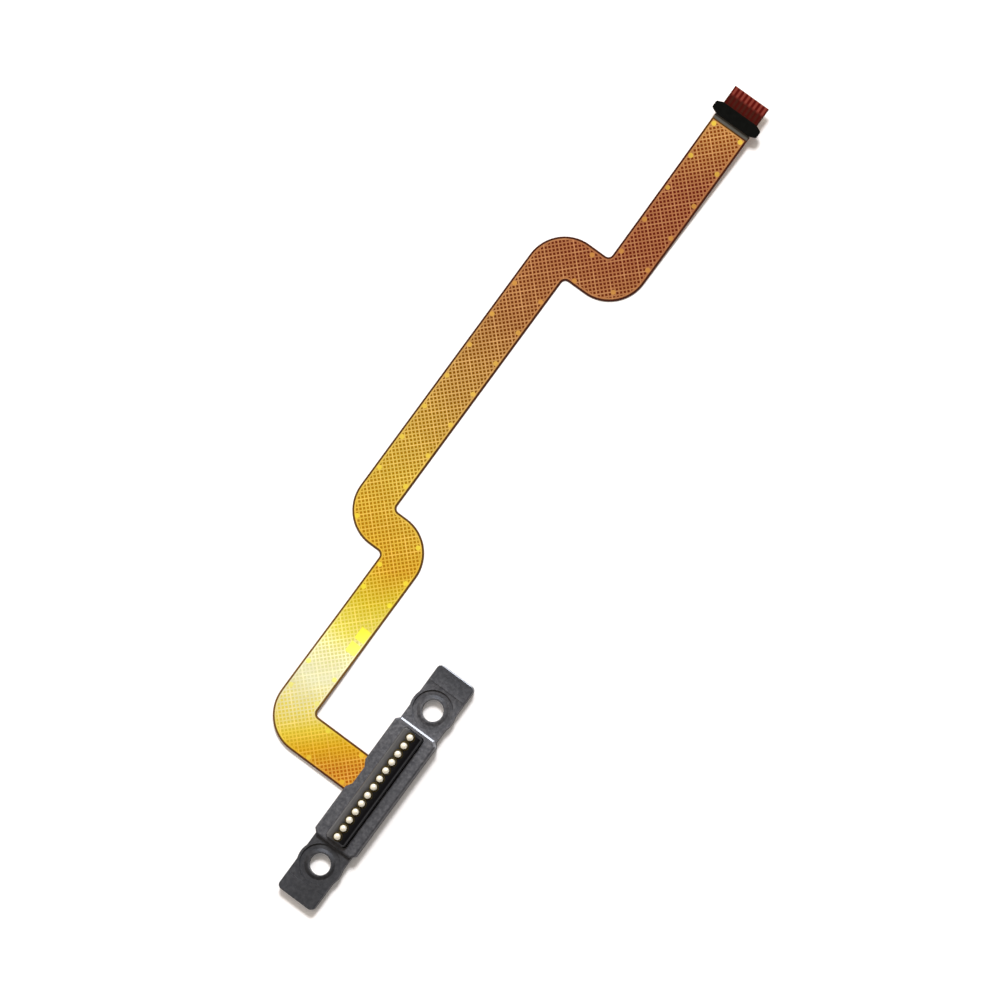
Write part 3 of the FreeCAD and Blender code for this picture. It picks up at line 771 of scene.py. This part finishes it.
def carrier_plastic():
    """Glossy black. The nose's top is slightly crowned, and painted grey on its +Y side as painted
    light, fading to near black on its -Y side as painted shade.
    """
    material = new_material("carrier_plastic", Roughness=0.2, Specular_IOR_Level=0.3,
                            Specular_Tint=(0.9, 0.92, 1.0, 1.0))
    across = calculate(material, "MULTIPLY", part_axes(material)["Y"], 1 / (NOSE_HALF * MM))
    painted_light_across = calculate(material, "MULTIPLY_ADD", noise(material, 1.5, detail=3), 0.25, across)
    # painted light and shade across the nose: grey on the +Y side, near black on the -Y side, with
    # cloudy edges
    feed(material, "Base Color", ramp(material, painted_light_across, [
        (0.1, (0.003, 0.003, 0.004)), (0.4, (0.018, 0.018, 0.018)),
        (0.75, (0.070, 0.071, 0.074)), (1.0, (0.100, 0.101, 0.106))]))
    fine = noise(material, 3.5, detail=4, roughness=0.6)
    feed(material, "Roughness", spread(material, fine, 0.16, 0.28))
    crown = calculate(material, "SUBTRACT", 1.0, calculate(material, "MULTIPLY", across, across))
    bump(material, fine, 0.3, 0.02, under=bump(material, crown, 1.0, NOSE_CROWN))
    return material


def contact_gold():
    """Pale gold plating, a little satin, so that a dome looks bright nearly all over."""
    material = new_material("contact_gold", Metallic=0.45, Roughness=0.35)
    feed(material, "Base Color", clouded(material, 3, 2, (0.93, 0.89, 0.74), (0.97, 0.94, 0.82)))
    feed(material, "Roughness", spread(material, noise(material, 20), 0.30, 0.42))
    return material


def collar_bronze():
    """Dark, dull plating of the rings round the contacts."""
    material = new_material("collar_bronze", Metallic=1.0, Roughness=0.5)
    feed(material, "Base Color", clouded(material, 4, 2, (0.045, 0.035, 0.012), (0.085, 0.065, 0.025)))
    return material


def film_edge():
    """Bare amber film with painted light along the strip: dark brown on the arm, lighter brown under the
    first run's painted highlight, and maroon towards the tail as painted reflection.
    """
    material = new_material("film_edge", Roughness=0.35, Specular_IOR_Level=0.1)
    hue = along_strip(material, [
        (3, (0.085, 0.022, 0.005)), (12, (0.17, 0.085, 0.014)), (20, (0.15, 0.07, 0.010)),
        (30, (0.11, 0.05, 0.010)), (46, (0.070, 0.022, 0.006)), (60, (0.055, 0.010, 0.002)),
        (80, (0.060, 0.009, 0.002)), (82.2, (0.12, 0.05, 0.004))])
    cloud = clouded(material, 0.6, 3, (0.85, 0.85, 0.85), (1.0, 1.0, 1.0))
    feed(material, "Base Color", blend_colours(material, 1.0, hue, cloud, "MULTIPLY"))
    bump(material, noise(material, 2.5), 0.1, 0.02)
    return material


def film_back():
    """The film's underside: amber over copper, with the cloudiness of a bonded sheet."""
    material = new_material("film_back", Roughness=0.32, Specular_IOR_Level=0.35)
    feed(material, "Base Color", clouded(material, 0.5, 4, (0.34, 0.125, 0.018), (0.46, 0.19, 0.028)))
    feed(material, "Roughness", spread(material, noise(material, 5), 0.27, 0.38))
    bump(material, noise(material, 2.5), 0.1, 0.02)
    return material


def copper_hue_and_painted_light(material):
    """The copper's colour, with painted light in it: orange by the connector, a pale yellow painted
    highlight on the first run, and darker, redder painted reflection by the tail.
    """
    # the pale stops from 11.5 to 18 are a painted highlight; the rest mixes the copper's hue with
    # painted reflection
    hue = along_strip(material, [
        (3, (0.74, 0.375, 0.04)), (6, (0.79, 0.49, 0.022)), (8.5, (0.85, 0.69, 0.08)),
        (11.5, (0.84, 0.80, 0.43)), (15, (0.835, 0.845, 0.59)), (18, (0.80, 0.78, 0.45)),
        (20.5, (0.77, 0.70, 0.17)), (24, (0.79, 0.665, 0.077)), (28, (0.755, 0.475, 0.036)),
        (36, (0.71, 0.515, 0.082)), (46, (0.59, 0.36, 0.095)), (55, (0.435, 0.21, 0.068)),
        (66, (0.37, 0.137, 0.052)), (75, (0.41, 0.16, 0.062)), (81, (0.58, 0.29, 0.09))])
    cloud = clouded(material, 0.35, 3, (0.90, 0.88, 0.86), (1.0, 1.0, 1.0))
    hue = blend_colours(material, 1.0, hue, cloud, "MULTIPLY")
    return blend_colours(material, bright_traces(material), hue, (0.11, 0.075, 0.035), "ADD")


def hatch_copper():
    """Satin copper of the hatch and the rails."""
    material = new_material("hatch_copper", Metallic=0.55, Roughness=0.38, Specular_IOR_Level=0.3)
    feed(material, "Base Color", copper_hue_and_painted_light(material))
    feed(material, "Roughness", spread(material, noise(material, 3), 0.32, 0.44))
    bump(material, noise(material, 0.5), 0.2, 0.05)
    return material


def pad_copper():
    """The pads, a little more yellow than the copper round them, with painted highlight and painted
    reflection along the strip.
    """
    material = new_material("pad_copper", Metallic=0.55, Roughness=0.38, Specular_IOR_Level=0.3)
    # the pads' hue with painted light along the strip: lighter near the first run's painted highlight,
    # darker towards the tail
    pad_hue_and_painted_light = along_strip(material, [
        (3, (0.80, 0.50, 0.03)), (8, (0.82, 0.72, 0.06)), (12, (0.84, 0.82, 0.20)),
        (21, (0.92, 0.88, 0.03)), (27, (0.84, 0.70, 0.04)), (36, (0.76, 0.60, 0.05)),
        (46, (0.66, 0.44, 0.06)), (58, (0.52, 0.25, 0.045)), (66, (0.50, 0.23, 0.045)),
        (72, (0.53, 0.26, 0.045)), (78, (0.68, 0.46, 0.05)), (81, (0.84, 0.64, 0.06))])
    feed(material, "Base Color", blend_colours(material, 0.8, copper_hue_and_painted_light(material), pad_hue_and_painted_light))
    feed(material, "Roughness", spread(material, noise(material, 4), 0.32, 0.44))
    return material


def opening_floor():
    """The film at the bottom of the hatch's openings, deeper in colour than the copper, with painted
    highlight and painted reflection along the strip.
    """
    material = new_material("opening_floor", Roughness=0.45, Specular_IOR_Level=0.05)
    # painted light along the strip: the pale stops from 11.5 to 18 are a painted highlight, the
    # darkening towards the tail is painted reflection
    feed(material, "Base Color", along_strip(material, [
        (3, (0.43, 0.12, 0.002)), (6, (0.56, 0.29, 0.002)), (8.5, (0.62, 0.46, 0.025)),
        (11.5, (0.71, 0.61, 0.09)), (15, (0.70, 0.71, 0.42)), (18, (0.63, 0.62, 0.24)),
        (20.5, (0.63, 0.57, 0.05)), (24, (0.56, 0.40, 0.007)), (28, (0.42, 0.18, 0.002)),
        (36, (0.36, 0.19, 0.004)), (46, (0.21, 0.08, 0.003)), (55, (0.135, 0.029, 0.002)),
        (66, (0.110, 0.010, 0.002)), (75, (0.115, 0.009, 0.002)), (81, (0.20, 0.042, 0.003))]))
    return material


def stripes(material, across, shift):
    """Soft stripes over the plate, one to a finger: 1 along the middle of a finger and 0 between."""
    turn = calculate(material, "MULTIPLY_ADD", across, 2 * math.pi / (FINGER_PITCH * MM),
                     2 * math.pi * (shift - THIRD_RUN / FINGER_PITCH))
    return calculate(material, "MULTIPLY_ADD", calculate(material, "COSINE", turn), 0.5, 0.5)


def plate_red():
    """Dark red plate. Fingers show through, brown in the near row and salmon in the far one."""
    material = new_material("plate_red", Roughness=0.4, Specular_IOR_Level=0.05)
    axes = part_axes(material)
    near = ramp(material, stripes(material, axes["Y"], 0.0),
                [(0.25, (0.060, 0.003, 0.0014)), (0.8, (0.052, 0.009, 0.005))])
    far = ramp(material, stripes(material, axes["Y"], 0.5),
               [(0.25, (0.090, 0.003, 0.0015)), (0.8, (0.22, 0.040, 0.028))])
    reach = fade(material, axes["X"], ROW_MEETING - ROW_BLEND, ROW_MEETING + ROW_BLEND)
    feed(material, "Base Color", blend_colours(material, reach, near, far))
    bump(material, noise(material, 6), 0.15, 0.02)
    return material


def bar_plastic():
    """Black, nearly matte plastic of the eared bar."""
    material = new_material("bar_plastic", Roughness=0.65, Specular_IOR_Level=0.05)
    feed(material, "Base Color", clouded(material, 2, 3, (0.001, 0.0014, 0.001), (0.003, 0.0036, 0.003)))
    bump(material, noise(material, 12), 0.3, 0.02)
    return material


def plain_finish(name, dark, light, roughness, metallic=0.0):
    """A finish with a little cloudiness and grain, for pieces that show little or nothing."""
    material = new_material(name, Roughness=roughness, Metallic=metallic, Specular_IOR_Level=0.3)
    feed(material, "Base Color", clouded(material, 1.5, 3, dark, light))
    bump(material, noise(material, 8), 0.15, 0.02)
    return material


def dress_part():
    """Paints the part's solids, and puts finer pieces in place of some."""
    gold = contact_gold()
    steel = plain_finish("spring_wire", (0.45, 0.44, 0.42), (0.6, 0.59, 0.56), 0.3, 1.0)
    paint(NODES["bracket"], bracket_plastic())
    paint(NODES["contact_carrier"], carrier_plastic())
    paint(NODES["solder_joints"],
          plain_finish("solder", (0.5, 0.5, 0.52), (0.65, 0.65, 0.67), 0.4, 1.0))
    paint(NODES["head_stiffener"],
          plain_finish("glass_epoxy", (0.30, 0.20, 0.06), (0.40, 0.28, 0.10), 0.4))
    paint(NODES["plate_adhesive"],
          plain_finish("grey_adhesive", (0.070, 0.069, 0.060), (0.092, 0.090, 0.080), 0.6))
    paint(make_tail_plate(), plate_red())
    paint(NODES["eared_bar"], bar_plastic())
    for row in ("far_fingers", "near_fingers"):
        paint(NODES[row], gold)
    make_film(film_edge(), film_back())
    make_hatch(hatch_copper(), pad_copper(), opening_floor())
    paint(make_collars(), collar_bronze())
    for index in range(CONTACT_COUNT):
        paint(make_dome(index), gold)
        paint(make_coil(index), steel)


# Setting


def add_camera():
    """Nearly overhead, leaning towards the contacts' far side, with the strip to the upper right."""
    aim = Vector((AIM[0], AIM[1], 0)) * MM
    place = aim + Vector((0, -math.sin(CAMERA_TILT), math.cos(CAMERA_TILT))) * CAMERA_DISTANCE * MM
    data = bpy.data.cameras.new("camera")
    data.sensor_width = 36
    data.lens = data.sensor_width / 2 / (FRAME_WIDTH / 2 / CAMERA_DISTANCE)
    data.clip_start = 0.01
    data.clip_end = 10
    camera = bpy.data.objects.new("camera", data)
    bpy.context.scene.collection.objects.link(camera)
    back = (place - aim).normalized()
    up = Vector((math.cos(IMAGE_UP), math.sin(IMAGE_UP), 0))
    up = (up - back * up.dot(back)).normalized()
    right = up.cross(back)
    camera.matrix_world = Matrix.Translation(place) @ Matrix((right, up, back)).transposed().to_4x4()
    bpy.context.scene.camera = camera


def add_light(name, towards, distance, side, radiance):
    """A square lamp that faces the part from a direction. Its distance and side are in millimetres."""
    data = bpy.data.lights.new(name, "AREA")
    data.shape = "SQUARE"
    data.size = side * MM
    data.energy = radiance * math.pi * data.size ** 2
    lamp = bpy.data.objects.new(name, data)
    bpy.context.scene.collection.objects.link(lamp)
    towards = Vector(towards).normalized()
    lamp.location = (Vector(MIDDLE) + towards * distance) * MM
    lamp.rotation_mode = "QUATERNION"
    lamp.rotation_quaternion = towards.to_track_quat("Z", "Y")
    return lamp


def light_only(lamp, piece):
    """Keeps a lamp's light to one piece."""
    group = bpy.data.collections.new(lamp.name + "_pieces")
    group.objects.link(piece)
    lamp.light_linking.receiver_collection = group


def add_lights():
    """A key lamp, and a low one that only picks out the bracket's bevels."""
    add_light("key", KEY_TOWARDS, KEY_DISTANCE, KEY_SIDE, KEY_RADIANCE)
    low = add_light("low_side", LOW_TOWARDS, LOW_DISTANCE, LOW_SIDE, LOW_RADIANCE)
    light_only(low, NODES["bracket"])


def background_rays(material):
    """1 for the rays that see a white background: the camera's, reflections and those through glass."""
    path = add_node(material, "ShaderNodeLightPath")
    seen = calculate(material, "MAXIMUM", path.outputs["Is Camera Ray"], path.outputs["Is Glossy Ray"])
    return calculate(material, "MAXIMUM", seen, path.outputs["Is Transmission Ray"])


def add_world():
    """Soft light in half a ring a little past overhead, a dim sky, and a white backdrop low down."""
    world = bpy.data.worlds.new("studio")
    world.use_nodes = True
    around = add_node(world, "ShaderNodeTexCoord").outputs["Generated"]

    def lean(axis):
        """How far a direction leans towards an axis: 1 along it, -1 away from it."""
        node = add_node(world, "ShaderNodeVectorMath", operation="DOT_PRODUCT")
        node.inputs[1].default_value = Vector(axis).normalized()
        join(world, around, node.inputs[0])
        return node.outputs["Value"]

    ring = ramp(world, lean(SKY_AXIS), greys(SKY_STOPS))
    half = calculate(world, "MULTIPLY_ADD", lean(SKY_SIDE), 0.5, 0.5)
    side = ramp(world, half, greys(SKY_SIDE_STOPS))
    glow = blend_colours(world, 1.0, ring, side, "MULTIPLY")
    lit = blend_colours(world, glow, tuple(DIM_SKY * c for c in SKY_TINT), SKY_TINT)
    sky = world.node_tree.nodes["Background"]
    join(world, lit, sky.inputs["Color"])
    sky.inputs["Strength"].default_value = SKY_STRENGTH
    backdrop = add_node(world, "ShaderNodeBackground")
    backdrop.inputs["Color"].default_value = (1, 1, 1, 1)
    parts = add_node(world, "ShaderNodeSeparateXYZ")
    join(world, around, parts.inputs[0])
    low = calculate(world, "LESS_THAN", parts.outputs["Z"], BACKDROP_TOP)
    choice = add_node(world, "ShaderNodeMixShader")
    join(world, calculate(world, "MULTIPLY", low, background_rays(world)), choice.inputs["Fac"])
    join(world, sky.outputs[0], choice.inputs[1])
    join(world, backdrop.outputs[0], choice.inputs[2])
    join(world, choice.outputs[0], world.node_tree.nodes["World Output"].inputs["Surface"])
    bpy.context.scene.world = world


def add_floor():
    """Pale table, a hair under the part, which shows white away from the part's shadow."""
    mesh = bpy.data.meshes.new("floor")
    mesh.from_pydata([tuple(c * MM for c in corner) for corner in (
        (-FLOOR_REACH, -FLOOR_REACH, FLOOR_LEVEL), (FLOOR_REACH, -FLOOR_REACH, FLOOR_LEVEL),
        (FLOOR_REACH, FLOOR_REACH, FLOOR_LEVEL), (-FLOOR_REACH, FLOOR_REACH, FLOOR_LEVEL))],
        [], [(0, 1, 2, 3)])
    floor = bpy.data.objects.new("floor", mesh)
    bpy.context.scene.collection.objects.link(floor)
    material = new_material("floor", Roughness=0.9)
    shader = shader_of(material)
    shader.inputs["Base Color"].default_value = (*FLOOR_COLOUR, 1)
    lift = add_node(material, "ShaderNodeEmission")
    lift.inputs["Color"].default_value = (1, 1, 1, 1)
    lift.inputs["Strength"].default_value = FLOOR_LIFT_STRENGTH
    both = add_node(material, "ShaderNodeAddShader")
    join(material, shader.outputs[0], both.inputs[0])
    join(material, lift.outputs[0], both.inputs[1])
    choice = add_node(material, "ShaderNodeMixShader")
    join(material, background_rays(material), choice.inputs["Fac"])
    join(material, shader.outputs[0], choice.inputs[1])
    join(material, both.outputs[0], choice.inputs[2])
    join(material, choice.outputs[0], material.node_tree.nodes["Material Output"].inputs["Surface"])
    paint(floor, material)


dress_part()
add_camera()
add_lights()
add_world()
add_floor()
bpy.context.scene.view_settings.view_transform = "Standard"
